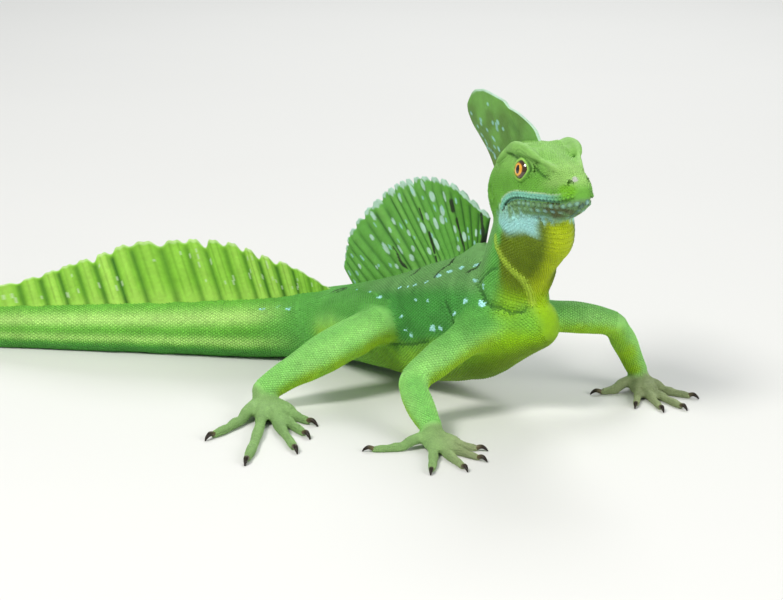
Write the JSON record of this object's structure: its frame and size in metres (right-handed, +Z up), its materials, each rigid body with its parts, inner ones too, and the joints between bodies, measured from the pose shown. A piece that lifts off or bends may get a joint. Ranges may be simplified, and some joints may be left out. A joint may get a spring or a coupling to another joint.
{
  "type": "green basilisk",
  "caption": "Life-size adult male green basilisk lizard standing on a flat floor, head raised and turned, with fan-like crests on head, back and tail and a long tail laid out behind.",
  "frame": {"origin": "on the floor, under the middle of the bounding box", "axes": "+Z up, +X from the tail end to the head end, +Y to the side that the animal's left foot is on; the head looks toward +X and -Y"},
  "size_m": [0.4822, 0.3628, 0.1156],
  "materials": {
    "skin": "matte scaled skin, vivid green",
    "throat": "matte scaled skin, yellow-green",
    "crest": "matte ribbed skin, leaf green with pale spots",
    "tail_crest": "matte ribbed skin, yellow-green",
    "digits": "matte scaled skin, grey-green, with dark claws",
    "eye": "glossy, amber iris with a dark upright pupil"
  },
  "bodies": {
    "root": {"torso": "skin", "neck": "throat", "head": "skin", "lower_jaw": "skin", "eye_left": "eye", "eye_right": "eye", "head_crest": "crest", "dorsal_crest": "crest", "tail_crest": "tail_crest", "tail_1": "skin", "tail_2": "skin", "tail_3": "skin", "tail_4": "skin", "tail_5": "skin", "upper_arm_right": "skin", "forearm_right": "skin", "hand_right": "digits", "upper_arm_left": "skin", "forearm_left": "skin", "hand_left": "digits", "thigh_right": "skin", "shank_right": "skin", "foot_right": "digits", "thigh_left": "skin", "shank_left": "skin", "foot_left": "digits"}
  },
  "joints": []
}
